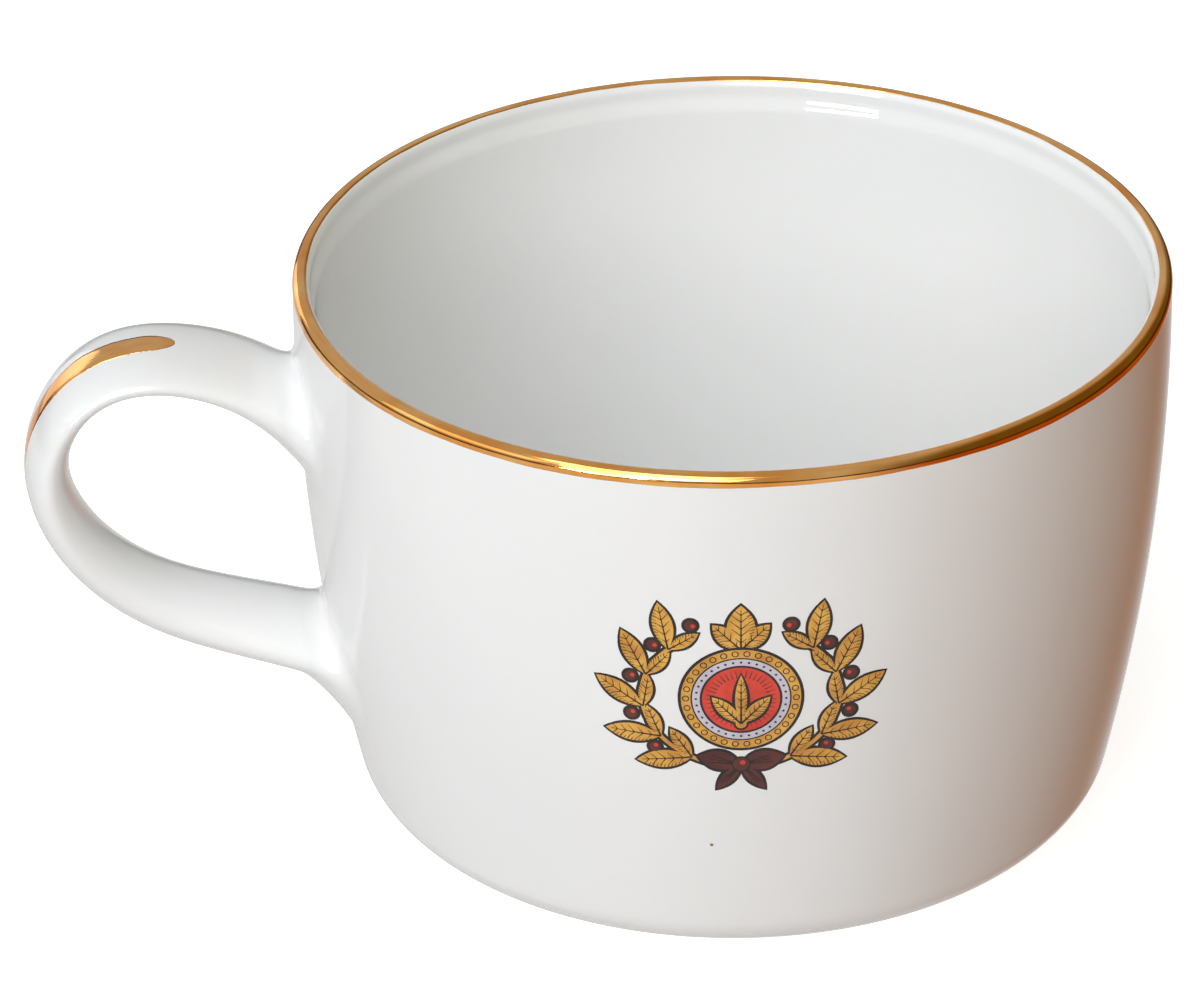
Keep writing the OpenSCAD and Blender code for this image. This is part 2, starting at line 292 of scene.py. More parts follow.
def surface(tree, shader, colour, roughness, height, depth):
    relief = addNode(tree, "ShaderNodeBump", {"Height": height, "Distance": depth, "Strength": 1.0}).outputs
    for slot, value in (("Base Color", colour), ("Roughness", roughness), ("Normal", relief[0])):
        tree.links.new(value, shader.inputs[slot])


def spread(tree, value, low, high):  # stretches the usual range of a noise to run from low to high
    return stretch(tree, value, 0.3, 0.7, low, high)


porcelain = {
    "ior": 1.5,
    "white": (0.88, 0.88, 0.87),
    "shade": (0.85, 0.855, 0.85),  # where the glaze pools a little thicker
    "cloudScale": 28.0,
    "depth": (0.6 * mm, 0.5 * mm, 0.4 * mm),  # how far red, green and blue light travel inside
    "depthShare": 0.15,
    "roughness": (0.01, 0.03),
    "ripple": 0.012 * mm,
    "speck": (0.3, 0.14, 0.08),
    "specks": {"Density": 70.0, "Share": 0.035, "Size": 0.013,
               "Mark": (-8.6 * mm, -38.8 * mm, 17.6 * mm), "Mark Size": 0.2 * mm},
}


def glazedPorcelain():
    finish, tree, shader = newFinish("glazedPorcelain", {
        "IOR": porcelain["ior"], "Subsurface Weight": porcelain["depthShare"],
        "Subsurface Radius": porcelain["depth"], "Subsurface Scale": 1.0})
    ripple = useGroup(tree, glazeRipple)
    cloud = stretch(tree, noise(tree, objectSpot(tree), porcelain["cloudScale"], 2.0), 0.35, 0.65, 0.0, 1.0)
    body = blendColour(tree, cloud, porcelain["white"], porcelain["shade"])
    specks = useGroup(tree, kilnSpecks, porcelain["specks"])["Speck"]
    colour = blendColour(tree, specks, body, porcelain["speck"])
    roughness = spread(tree, ripple["Gloss"], *porcelain["roughness"])
    surface(tree, shader, colour, roughness, ripple["Height"], porcelain["ripple"])
    return finish


bareClay = {
    "dark": (0.72, 0.69, 0.64),
    "light": (0.83, 0.81, 0.77),
    "toast": (0.62, 0.5, 0.38),  # faint flash where bare clay meets the glaze
    "toastShare": 0.25,
    "toastEdge": (0.3 * mm, 0.6 * mm),
    "glazeEdge": (0.35 * mm, 0.45 * mm),  # height at which the glaze was wiped off
    "edgeWave": 0.25 * mm,
    "grainScale": 2600.0,
    "rings": {"Around": 2.0, "Across": 5000.0},
    "ringShare": 0.6,
    "roughness": (0.72, 0.06),  # bare, glazed
    "bump": 0.04 * mm,
}


def barePorcelain():
    finish, tree, shader = newFinish("barePorcelain", {"IOR": porcelain["ior"]})
    spot = objectSpot(tree)
    height = split(tree, spot)["Z"]
    grain = noise(tree, spot, bareClay["grainScale"], 3.0)
    rings = noise(tree, useGroup(tree, roundAxis, bareClay["rings"])[0], 1.0, 2.0)
    sway = times(tree, calc(tree, "SUBTRACT", rings, 0.5), bareClay["edgeWave"])
    edge = plus(tree, height, sway)
    glazed = stretch(tree, edge, *bareClay["glazeEdge"], 0.0, 1.0)
    toasting = times(tree, stretch(tree, edge, *bareClay["toastEdge"], 1.0, 0.0),
                    bareClay["toastShare"])
    clay = blendColour(tree, spread(tree, grain, 0.0, 1.0), bareClay["dark"], bareClay["light"])
    toasted = blendColour(tree, toasting, clay, bareClay["toast"])
    colour = blendColour(tree, glazed, toasted, porcelain["white"])
    roughness = stretch(tree, glazed, 0.0, 1.0, *bareClay["roughness"])
    ground = plus(tree, grain, times(tree, rings, bareClay["ringShare"]))
    bared = times(tree, ground, calc(tree, "SUBTRACT", 1.0, glazed))
    surface(tree, shader, colour, roughness, bared, bareClay["bump"])
    return finish


gold = {
    "bright": (1.0, 0.55, 0.19),
    "deep": (0.86, 0.32, 0.05),
    "cloudScale": 160.0,
    "roughness": (0.05, 0.16),
    "bump": 0.006 * mm,
    "rimHairs": {"Around": 9.0, "Across": 4200.0},
    "strokeHairs": {"Rotation": (0.0, 0.0, math.radians(40)), "Scale": (500.0, 5200.0, 500.0)},
}


# Bright gold: brush lines run round the rim, or slant across the handle's back
def brightGold(name, onHandle=False):
    finish, tree, shader = newFinish(name, {"Metallic": 1.0})
    spot = objectSpot(tree)
    if onHandle:
        turned = addNode(tree, "ShaderNodeMapping", {"Vector": spot, **gold["strokeHairs"]}).outputs[0]
    else:
        turned = useGroup(tree, roundAxis, gold["rimHairs"])[0]
    hairs = noise(tree, turned, 1.0, 3.0)
    cloud = spread(tree, noise(tree, spot, gold["cloudScale"], 3.0), 0.0, 1.0)
    coat = blendColour(tree, cloud, gold["bright"], gold["deep"])
    colour = blendColour(tree, stretch(tree, hairs, 0.45, 0.75, 0.0, 0.5), coat, gold["deep"])
    surface(tree, shader, colour, spread(tree, hairs, *gold["roughness"]), hairs, gold["bump"])
    return finish


ink = {
    "mottleScale": 900.0,
    "washScale": 260.0,
    "mottleShare": 0.45,
    "roughness": (0.128, 0.208),
    "bump": 0.006 * mm,
}


# One colour of the transfer: slightly mottled, with a fine engraver's grain
def printInk(name, light, dark):
    finish, tree, shader = newFinish(name, {"IOR": porcelain["ior"]})
    spot = objectSpot(tree)
    mottle, wash = noise(tree, spot, ink["mottleScale"], 4.0), noise(tree, spot, ink["washScale"], 2.0)
    mixed = plus(tree, times(tree, mottle, ink["mottleShare"]), times(tree, wash, 1.0 - ink["mottleShare"]))
    colour = blendColour(tree, stretch(tree, mixed, 0.4, 0.62, 0.0, 1.0), light, dark)
    surface(tree, shader, colour, spread(tree, mottle, *ink["roughness"]), mottle, ink["bump"])
    return finish


finishes = {
    "glaze": glazedPorcelain(),
    "bare": barePorcelain(),
    "rimGold": brightGold("brightGoldRim"),
    "strokeGold": brightGold("brightGoldStroke", onHandle=True),
    "brown": printInk("printBrown", (0.03, 0.015, 0.008), (0.012, 0.006, 0.004)),
    "ochre": printInk("printOchre", (0.78, 0.42, 0.07), (0.55, 0.24, 0.03)),
    "pale": printInk("printPale", (0.62, 0.6, 0.68), (0.52, 0.5, 0.58)),
    "red": printInk("printRed", (0.72, 0.06, 0.03), (0.56, 0.03, 0.02)),
    "maroon": printInk("printMaroon", (0.13, 0.025, 0.018), (0.07, 0.014, 0.011)),
}
print("finishes made:", len(finishes))


bowl = {
    "bowRadius": 220 * mm,  # the side is one long arc
    "bowDrop": 6.5 * mm,  # widest ring below the lip
    "corner": 5 * mm,
    "undersideRise": math.radians(15.5),
    "wall": 2.4 * mm,
    "lip": 1.7 * mm,
    "shoulderStart": 0.6 * mm,  # below the lip's round
    "shoulderDepth": 2.1 * mm,
    "shoulderSwell": 0.45 * mm,  # how much the wall thickens over the shoulder
    "taper": 15 * mm,  # depth over which the wall then reaches its full thickness
    "floor": 3 * mm,
    "innerCorner": 10 * mm,
    "dish": 0.3 * mm,  # hollow in the middle of the underside
    "sides": 256,
    "wander": 0.05 * mm,  # how far firing pulls the wall off a true circle
    "seed": 4.0,
}
lipRadius = bowl["lip"] / 2
lipCentre = (rimRadius - lipRadius, cupHeight - lipRadius)
widest = cupHeight - bowl["bowDrop"]
bowCentre = rimRadius - math.sqrt(bowl["bowRadius"] ** 2 - (lipCentre[1] - widest) ** 2)


def sideRadius(height):
    return bowCentre + np.sqrt(bowl["bowRadius"] ** 2 - (height - widest) ** 2)


def arcPoints(centre, radius, start, stop, steps):
    return [(centre[0] + radius * math.cos(a), centre[1] + radius * math.sin(a))
            for a in np.linspace(start, stop, steps + 1)]


def ease(t):
    t = min(t, 1.0)
    return t * t * (3 - 2 * t)


def thin(points, gap=1e-5):  # drops points that coincide, so that no face is empty
    kept = points[:1]
    for p in points[1:]:
        if math.dist(p, kept[-1]) > gap:
            kept.append(p)
    return kept


def bowlProfile():
    rise, corner, big = bowl["undersideRise"], bowl["corner"], bowl["bowRadius"]
    along = Vector((math.cos(rise), math.sin(rise)))
    above = Vector((-math.sin(rise), math.cos(rise)))
    start = Vector((footRadius, footTop)) + corner * above - Vector((bowCentre, widest))
    run = -start.dot(along) + math.sqrt(start.dot(along) ** 2 - start.dot(start) + (big - corner) ** 2)
    turn = start + run * along + Vector((bowCentre, widest))
    cornerEnd = math.atan2(turn.y - widest, turn.x - bowCentre)
    lipStart = math.asin((lipCentre[1] - widest) / big)

    innerCentre = bowCentre - bowl["wall"]
    floorHeight = footTop + bowl["floor"]
    innerHeight = floorHeight + bowl["innerCorner"]
    innerTurn = (innerCentre + math.sqrt((big - bowl["innerCorner"]) ** 2 - (innerHeight - widest) ** 2),
                 innerHeight)
    innerEnd = math.atan2(innerTurn[1] - widest, innerTurn[0] - innerCentre)
    steepDepth, steepSwell = bowl["shoulderDepth"], bowl["shoulderSwell"]
    taperEnd = lipCentre[1] - bowl["shoulderStart"] - bowl["taper"]
    shoulderStart = math.asin((taperEnd - widest) / big)

    points = [(0.0, footTop + bowl["dish"]), (footRadius * 0.4, footTop + bowl["dish"] * 0.75),
              (footRadius * 0.75, footTop), (footRadius, footTop)]
    points += arcPoints(turn, corner, rise - math.pi / 2, cornerEnd, 28)
    points += arcPoints((bowCentre, widest), big, cornerEnd, lipStart, 56)
    points += arcPoints(lipCentre, lipRadius, 0.0, math.pi, 28)
    gentleSwell = bowl["wall"] - bowl["lip"] - steepSwell
    depths = [*np.linspace(0, steepDepth, 19)[:-1], *np.linspace(steepDepth, bowl["taper"], 15)[:-1]]
    for depth in depths:
        height = lipCentre[1] - bowl["shoulderStart"] - depth
        swell = steepSwell * ease(depth / steepDepth) + gentleSwell * ease(depth / bowl["taper"])
        points.append((float(sideRadius(height)) - bowl["lip"] - swell, height))
    points += arcPoints((innerCentre, widest), big, shoulderStart, innerEnd, 48)
    points += arcPoints(innerTurn, bowl["innerCorner"], innerEnd, -math.pi / 2, 28)
    points += [(innerTurn[0] * share, floorHeight) for share in (0.75, 0.5, 0.25, 0.0)]
    return thin(points)


foot = {
    "land": 1.8 * mm,
    "bevel": 0.4 * mm,
    "root": 4 * mm,
    "fillet": 0.8 * mm,  # glaze that gathers in the corner under the bowl
    "sink": 0.4 * mm,
    "sides": 192,
}


def footProfile():
    rise, bevel = bowl["undersideRise"], foot["bevel"]
    innerFoot = footRadius - bevel - foot["land"]
    outer = arcPoints((footRadius + foot["fillet"], footTop - foot["fillet"] * 0.75), foot["fillet"],
                      math.pi / 2 + rise, math.pi, 8)
    edge = arcPoints((footRadius - bevel, bevel), bevel, 0.0, -math.pi / 2, 8)
    inside = arcPoints((innerFoot, bevel), bevel, -math.pi / 2, -math.pi * 0.9, 6)
    root = footRadius - foot["root"]
    top = [(root, footTop - 0.02 * mm), (root - 0.3 * mm, footTop + foot["sink"]),
           (footRadius + foot["fillet"] * 0.8, footTop + foot["sink"])]
    points = thin(outer + edge + inside + top)
    return points + points[:1]


def lineObject(name, points, closed=False):
    mesh, count = bpy.data.meshes.new(name), len(points)
    edges = [(i, (i + 1) % count) for i in range(count if closed else count - 1)]
    mesh.from_pydata(points, edges, [])
    return keepObject(name, mesh)


def faceOutwards(mesh):
    mesh.calc_loop_triangles()
    places = np.array([v.co for v in mesh.vertices])
    a, b, c = (places[[t.vertices[k] for t in mesh.loop_triangles]] for k in range(3))
    if (a * np.cross(b, c)).sum() < 0:
        mesh.flip_normals()


def finishPiece(mesh, nodes, sharpAngle=None):
    piece = keepObject(mesh.name, mesh)
    faceOutwards(mesh)
    mesh.shade_smooth()
    if sharpAngle:
        mesh.set_sharp_from_angle(angle=math.radians(sharpAngle))
    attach(piece, "root")
    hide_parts(*nodes)


def turnedPiece(name, points, finish, nodes, sides, wander=0.0, seed=1.0, sharpAngle=None):
    profile = lineObject(name + "Profile", [(r, 0.0, z) for r, z in points])
    mesh = growMesh(name, lathe, {"Profile": profile, "Sides": sides, "Wander": wander, "Seed": seed,
                                  "Finish": finish})
    dropObject(profile)
    finishPiece(mesh, nodes, sharpAngle)


lathe, row = buildLathe(), buildRow()
turnedPiece("bowlShell", bowlProfile(), finishes["glaze"], ["bowl"],
            bowl["sides"], bowl["wander"], bowl["seed"])
turnedPiece("footRing", footProfile(), finishes["bare"], ["foot_ring"],
            foot["sides"], sharpAngle=40)
print("bowl and foot turned")


handle = {
    "reach": 24.5 * mm,  # from the rim out to the furthest point of the centre line
    "upperDrop": 12.5 * mm,
    "lowerRise": 20 * mm,
    "thickness": 4 * mm,
    "width": 12 * mm,
    "knots": [  # reach, rise, thickness and width, as shares of the four sizes above
        (-0.45, 0.42, 2.4, 1.4), (-0.02, 1.06, 1.6, 1.3), (0.41, 1.28, 0.9, 1.15), (0.86, 1.28, 0.8, 1.05),
        (1.12, 0.81, 1.15, 0.9), (0.69, 0.21, 1.3, 0.95), (-0.33, 0.04, 1.3, 1.3), (-0.24, -0.42, 1.4, 1.7)],
    "sink": 1.2 * mm,  # how deep its ends sit in the wall
    "rings": 200,
    "sides": 72,
    "upperReach": (-0.1, 0.3),  # where along the strap to look for each joint: in the wall, and in the open
    "lowerReach": (1.1, 0.7),
}
handleSpan = cupHeight - handle["upperDrop"] - handle["lowerRise"]
handleKnots = np.array(handle["knots"]) * [handle["reach"], handleSpan, handle["thickness"] / 2,
                                           handle["width"] / 2] + [rimRadius, handle["lowerRise"], 0, 0]


# Uniform cubic B-spline through the knots; past its ends it runs straight on
def strapAt(s):
    held = np.clip(s, 0.0, 1.0)
    spans = len(handleKnots) - 3
    k = np.minimum((held * spans).astype(int), spans - 1)
    t = (held * spans - k)[..., None]
    a, b, c, d = (handleKnots[k + i] for i in range(4))
    value = ((1 - t) ** 3 * a + (3 * t ** 3 - 6 * t ** 2 + 4) * b
             + (-3 * t ** 3 + 3 * t ** 2 + 3 * t + 1) * c + t ** 3 * d) / 6
    slope = spans / 2 * (-(1 - t) ** 2 * a + (3 * t ** 2 - 4 * t) * b
                         + (-3 * t ** 2 + 2 * t + 1) * c + t ** 2 * d)
    centre = value[..., :2] + (s - held)[..., None] * slope[..., :2]
    along = slope[..., :2] / np.linalg.norm(slope[..., :2], axis=-1, keepdims=True)
    none = np.zeros_like(s)
    middle = np.stack([-centre[..., 0], none, centre[..., 1]], -1)
    normal = np.stack([along[..., 1], none, along[..., 0]], -1)
    return middle, normal, value[..., 2:3], value[..., 3:4]


sideways = np.array([0.0, 1.0, 0.0])


def strapPoint(s, a):
    middle, normal, halfThick, halfWide = strapAt(s)
    a = a[..., None]
    return middle + halfThick * np.cos(a) * normal + halfWide * np.sin(a) * sideways


def strapOut(s, a):
    _, normal, halfThick, halfWide = strapAt(s)
    a = a[..., None]
    out = np.cos(a) / halfThick * normal + np.sin(a) / halfWide * sideways
    return out / np.linalg.norm(out, axis=-1, keepdims=True)


def wallRadius(angle, height):
    waves = sum(size * np.sin(turns * (angle + bowl["seed"]) + lean * height)
                for turns, lean, size in outOfRound)
    return sideRadius(height) + bowl["wander"] * waves


def wallGap(points):
    angle = np.arctan2(points[..., 1], points[..., 0]) % math.tau
    return np.hypot(points[..., 0], points[..., 1]) - wallRadius(angle, points[..., 2])


def onWall(points, gap):  # moves each point straight out or in until it has this gap
    radius = np.hypot(points[..., 0], points[..., 1])
    share = (radius - wallGap(points) + gap) / radius
    return points * np.stack([share, share, np.ones_like(share)], -1)


# Where along the strap its surface has this gap to the wall, by halving
def placeAt(gap, a, inside, outside):
    low, high = np.full_like(a, inside), np.full_like(a, outside)
    for _ in range(40):
        middle = (low + high) / 2
        below = wallGap(strapPoint(middle, a)) < gap
        low, high = np.where(below, middle, low), np.where(below, high, middle)
    return (low + high) / 2


# Mesh over a grid of points: columns always close up, and rows do too or end in a fan
def tubeMesh(name, grid, finish, ring=False, capGap=None):
    rows, columns = grid.shape[:2]
    index = np.arange(rows * columns).reshape(rows, columns)
    faces = []
    for i in range(rows if ring else rows - 1):
        here, there = index[i], index[(i + 1) % rows]
        for j in range(columns):
            beside = (j + 1) % columns
            faces.append((here[j], here[beside], there[beside], there[j]))
    points = grid.reshape(-1, 3)
    if not ring:
        for edge, flip in ((index[0], True), (index[-1], False)):
            middle = points[edge].mean(0)
            if capGap is not None:
                middle = onWall(middle, capGap)
            points = np.vstack([points, middle])
            tip = len(points) - 1
            for j in range(columns):
                pair = (edge[j], edge[(j + 1) % columns])
                faces.append((*reversed(pair), tip) if flip else (*pair, tip))
    mesh = bpy.data.meshes.new(name)
    mesh.from_pydata(points.tolist(), [], [[int(v) for v in face] for face in faces])
    mesh.materials.append(finish)
    return mesh


def buildStrap():
    around = np.linspace(0, math.tau, handle["sides"], endpoint=False)
    first = placeAt(-handle["sink"], around, *handle["upperReach"])
    last = placeAt(-handle["sink"], around, *handle["lowerReach"])
    share = np.linspace(0, 1, handle["rings"])[:, None]
    s = first + (last - first) * share
    grid = strapPoint(s, np.broadcast_to(around, s.shape))
    mesh = tubeMesh("handleStrap", grid, finishes["glaze"], capGap=-handle["sink"])
    finishPiece(mesh, ["handle"])


slip = {
    "upper": {"radius": 3.0 * mm, "bend": 2.5, "extra": 0.0, "extraBend": 0.0},
    "lower": {"radius": 3.0 * mm, "bend": 2.5, "extra": 1.9 * mm, "extraBend": -1.35},  # extra is underneath
    "steps": 18,
    "sides": 96,
    "dip": 0.004 * mm,  # how far its edges run under the surfaces that they meet
    "tuck": 0.05 * mm,
    "root": (0.9 * mm, 0.5 * mm),  # depth of its hidden back in the wall and in the strap
}


# The slip squeezed out where the strap meets the wall: hollow towards the corner, closed inside the clay.
# A bend of 2 is a plain round hollow, more keeps closer to the corner, and under 1 it bulges.
def buildSlip(name, node, reach, shape):
    around = np.linspace(0, math.tau, slip["sides"], endpoint=False)
    under = ((1 + np.cos(around)) / 2) ** 2
    radius, bend = shape["radius"] + shape["extra"] * under, shape["bend"] + shape["extraBend"] * under
    t, dip = np.linspace(0, 1, slip["steps"])[:, None], slip["dip"]
    gap = radius * t ** bend - dip * (1 - t)
    proud = radius * (1 - t) ** bend - dip * t
    tuck, wallRoot, strapRoot = (-depth * np.ones_like(around) for depth in (slip["tuck"], *slip["root"]))
    gap = np.vstack([tuck, gap, radius * 1.08, radius * 0.6, wallRoot, wallRoot])
    proud = np.vstack([radius * 1.08, proud, tuck, strapRoot, strapRoot, radius * 0.8])
    rows = []
    for g, p in zip(gap, proud):
        s = placeAt(g, around, *reach)
        point, out = strapPoint(s, around), strapOut(s, around)
        wall = point * [1, 1, 0] / np.hypot(point[:, 0], point[:, 1])[:, None]
        aside = out - (out * wall).sum(1, keepdims=True) * wall
        aside /= np.linalg.norm(aside, axis=1, keepdims=True)
        rows.append(onWall(point + p[:, None] * aside, g))
    mesh = tubeMesh(name, np.array(rows), finishes["glaze"], ring=True)
    finishPiece(mesh, [node])


buildStrap()
buildSlip("upperSlip", "handle_upper_joint", handle["upperReach"], slip["upper"])
buildSlip("lowerSlip", "handle_lower_joint", handle["lowerReach"], slip["lower"])
print("handle built")


gilding = {
    "thickness": 0.02 * mm,
    "wrap": math.radians(125),  # how far over the lip the gold goes
    "drop": 0.3 * mm,
    "edgeWave": 0.09 * mm,  # unsteadiness of the brush at its edges
    "sides": 384,
    "strokeFrom": 0.235,
    "strokeTo": 0.62,
    "strokeWidth": 3.2 * mm,
    "strokeWave": 0.07 * mm,
    "strokeBlunt": 0.14,  # share of the stroke's length over which its set-down end rounds off
    "strokeTaper": 0.6,  # share over which the other end runs out
}
brushWaves = [(3, 0.35), (7, 0.3), (17, 0.2), (41, 0.15)]  # waves in a turn, share


def brushWave(x, seed):
    return sum(np.sin(k * x + seed * k * 1.7) * size for k, size in brushWaves)


# A thin closed film over a surface given as places and outward directions, thinned at its edges
def filmMesh(name, places, outs, thickness, finish, ring):
    across = np.linspace(-1, 1, places.shape[1])
    lift = thickness * np.maximum(1 - across ** 6, 0.02)[None, :, None]
    outer, inner = places + outs * lift, places - outs * thickness * 0.8
    grid = np.concatenate([outer, inner[:, ::-1]], 1)
    return tubeMesh(name, grid, finish, ring=ring)


def buildRimGold():
    around = np.linspace(0, math.tau, gilding["sides"], endpoint=False)[:, None]
    edgeWave = gilding["edgeWave"] / lipRadius
    low = -gilding["drop"] / lipRadius + edgeWave * brushWave(around, 1.0)
    high = gilding["wrap"] + edgeWave * brushWave(around, 2.0)
    turn = low + (high - low) * np.linspace(0, 1, 26)
    around = np.broadcast_to(around, turn.shape)
    over = np.maximum(turn, 0)
    height = lipCentre[1] + lipRadius * np.sin(over) + lipRadius * np.minimum(turn, 0)
    stray = wallRadius(around, height) - sideRadius(height)
    radius = np.where(turn < 0, sideRadius(height), lipCentre[0] + lipRadius * np.cos(over)) + stray
    places = np.stack([radius * np.cos(around), radius * np.sin(around), height], -1)
    outs = np.stack([np.cos(over) * np.cos(around), np.cos(over) * np.sin(around), np.sin(over)], -1)
    mesh = filmMesh("rimGold", places, outs, gilding["thickness"], finishes["rimGold"], ring=True)
    finishPiece(mesh, ["rim_gilding"])


def buildStrokeGold():
    share = np.linspace(0, 1, 220)[:, None]
    s = gilding["strokeFrom"] + (gilding["strokeTo"] - gilding["strokeFrom"]) * share
    blunt = np.sqrt(1 - np.clip(1 - (share + 0.004) / gilding["strokeBlunt"], 0, 1) ** 2)
    full = blunt * np.clip((1.02 - share) / gilding["strokeTaper"], 0, 1) ** 0.6
    across = np.linspace(-1, 1, 13)
    half = gilding["strokeWidth"] / 2 * full
    left = half + gilding["strokeWave"] * brushWave(share * 6, 3.0) * full
    right = half + gilding["strokeWave"] * brushWave(share * 6, 5.0) * full
    offset = np.where(across < 0, left * across, right * across)
    s = np.broadcast_to(s, offset.shape)
    a = np.arcsin(offset / strapAt(s)[3][..., 0])
    places, outs = strapPoint(s, a), strapOut(s, a)
    mesh = filmMesh("strokeGold", places, outs, gilding["thickness"], finishes["strokeGold"], ring=False)
    finishPiece(mesh, ["handle_gilding"])


buildRimGold()
buildStrokeGold()
print("gilding laid")


# The emblem is drawn flat, in millimetres, and then wrapped on the wall
emblem = {
    "turn": math.radians(-98.5),
    "height": 35 * mm,
    "disc": 3.7,
    "palePart": 1.0,
    "bandPart": 0.9,
    "wreathGap": 2.2,
    "outline": 0.3,
    "stemWidth": 0.4,
    "leaf": (5.4, 2.0),
    "leafTurn": math.radians(-48),
    "innerLeafTurn": math.radians(18),
    "innerLeafSize": 0.7,
    "leafCount": 5,
    "firstLeaf": -60,
    "leafStep": 26,
    "berry": 0.55,
    "berryOut": 1.3,
    "groundLift": 0.012 * mm,
    "colourLift": 0.024 * mm,
    "sink": 0.006 * mm,
    "seed": 3,
    "reach": 16.0,  # half the side of the square that is cut into strips, so that it follows the round wall
    "strips": (0.8, 2.0),
}
medallion = emblem["disc"] + emblem["palePart"] + emblem["bandPart"]
wreathSize = (medallion + emblem["wreathGap"] + 1.5, medallion + emblem["wreathGap"])
drawing = []  # (ink, rank, corner points); where shapes overlap the highest rank shows


def wreathPoint(degrees, proud=0.0):
    a = math.radians(degrees)
    return ((wreathSize[0] + proud) * math.cos(a), (wreathSize[1] + proud) * math.sin(a))


def turnedShape(points, angle, at):
    c, s = math.cos(angle), math.sin(angle)
    return [(at[0] + c * x - s * y, at[1] + s * x + c * y) for x, y in points]


def circleShape(radius, at=(0.0, 0.0), steps=24):
    return [(at[0] + radius * math.cos(math.tau * i / steps), at[1] + radius * math.sin(math.tau * i / steps))
            for i in range(steps)]


def leafShape(length, width, grow=0.0, steps=12):
    full, wide = length + 2 * grow, width + 2 * grow
    right = [(length / 2 + full / 2 * x, -wide / 2 * (1 - x * x)) for x in np.linspace(-1, 1, steps + 1)]
    return right + [(x, -y) for x, y in right[-2:0:-1]]


def slitShape(start, end, width):  # thin line that tapers to its end
    ahead = np.subtract(end, start)
    aside = np.array([-ahead[1], ahead[0]]) / np.hypot(*ahead) * width / 2
    return [tuple(np.subtract(start, aside)), tuple(np.add(end, -aside * 0.35)),
            tuple(np.add(end, aside * 0.35)), tuple(np.add(start, aside))]


# A leaf as a drawing: its dark edge, its blade, the midrib and side veins
def leafParts(length, width, veins=5):
    parts = [("brown", 1, leafShape(length, width, emblem["outline"])),
             ("ochre", 4, leafShape(length, width)),
             ("brown", 5, slitShape((0, 0), (length * 0.9, 0), 0.2))]
    for i in range(veins):
        x = length * (0.16 + 0.62 * i / (veins - 1))
        reach = width / 2 * (1 - (2 * x / length - 1) ** 2) * 0.78
        for side in (1, -1):
            parts.append(("brown", 5, slitShape((x, 0), (x + reach * 0.9, side * reach), 0.12)))
    for x in np.linspace(length * 0.2, length * 0.86, 2 * veins + 1):  # the engraver's shading of one half
        edge = -width / 2 * (1 - (2 * x / length - 1) ** 2)
        parts.append(("brown", 5, slitShape((x, edge * 0.97), (x - 0.22, edge * 0.58), 0.1)))
    return parts


def addShape(ink, rank, points, mirrored):
    drawing.append((ink, rank, points))
    if mirrored:
        drawing.append((ink, rank, [(-x, y) for x, y in points][::-1]))


def draw(parts, angle=0.0, at=(0.0, 0.0), mirrored=False):
    for ink, rank, points in parts:
        addShape(ink, rank, turnedShape(points, angle, at), mirrored)


def drawRow(name, path, parts, count, turn=0.0, last=1.0, play=0.0, closed=False, mirrored=False):
    pattern = bpy.data.meshes.new(name + "Shape")
    corners = [(x, y, 0.0) for part in parts for x, y in part[2]]
    starts = np.cumsum([0] + [len(part[2]) for part in parts])
    pattern.from_pydata(corners, [], [list(range(a, b)) for a, b in zip(starts[:-1], starts[1:])])
    shapeObject = keepObject(name + "Shape", pattern)
    pathObject = lineObject(name + "Path", [(x, y, 0.0) for x, y in path], closed)
    mesh = growMesh(name, row, {"Path": pathObject, "Shape": shapeObject, "Count": count, "Turn": turn,
                                "First Size": 1.0, "Last Size": last, "Turn Play": play,
                                "Seed": emblem["seed"], "Finish": finishes["ochre"]})
    for face in mesh.polygons:
        ink, rank, _ = parts[face.index % len(parts)]
        addShape(ink, rank, [tuple(mesh.vertices[v].co[:2]) for v in face.vertices], mirrored)
    dropObject(pathObject)
    dropObject(shapeObject)
    bpy.data.meshes.remove(mesh)


def drawWreath():
    first, step, count = emblem["firstLeaf"], emblem["leafStep"], emblem["leafCount"]
    length, width = emblem["leaf"]
    path = [wreathPoint(a) for a in np.linspace(first, first + step * (count - 1), 60)]
    drawRow("outerLeaves", path, leafParts(length, width), count,
            emblem["leafTurn"], 0.96, 0.1, mirrored=True)
    small = emblem["innerLeafSize"]
    drawRow("innerLeaves", path, leafParts(length * small, width * small, veins=4), count,
            emblem["innerLeafTurn"], 0.9, 0.1, mirrored=True)
    berryAngles = np.linspace(first + 0.78 * step, first + (count - 0.22) * step, 60)
    berryPath = [wreathPoint(a, emblem["berryOut"]) for a in berryAngles]
    r = emblem["berry"]
    berryParts = [("brown", 1, circleShape(r + emblem["outline"])), ("maroon", 6, circleShape(r)),
                  ("red", 7, circleShape(r * 0.4, (r * 0.25, r * 0.3), 12))]
    drawRow("berries", berryPath, berryParts, count, mirrored=True)
    for grow, ink, rank in ((emblem["outline"], "brown", 1), (0.0, "ochre", 4)):
        side = emblem["stemWidth"] / 2 + grow
        angles = np.linspace(first - 10, first + step * (count - 0.8), 40)
        strip = [wreathPoint(a, side) for a in angles] + [wreathPoint(a, -side) for a in angles[::-1]]
        draw([(ink, rank, strip)], mirrored=True)


def drawCrest():
    length, width = emblem["leaf"]
    draw(leafParts(length * 0.9, width * 1.3), math.pi / 2, (0, medallion))
    draw(leafParts(length * 0.7, width * 0.9, veins=4), math.radians(46), (0, medallion), mirrored=True)


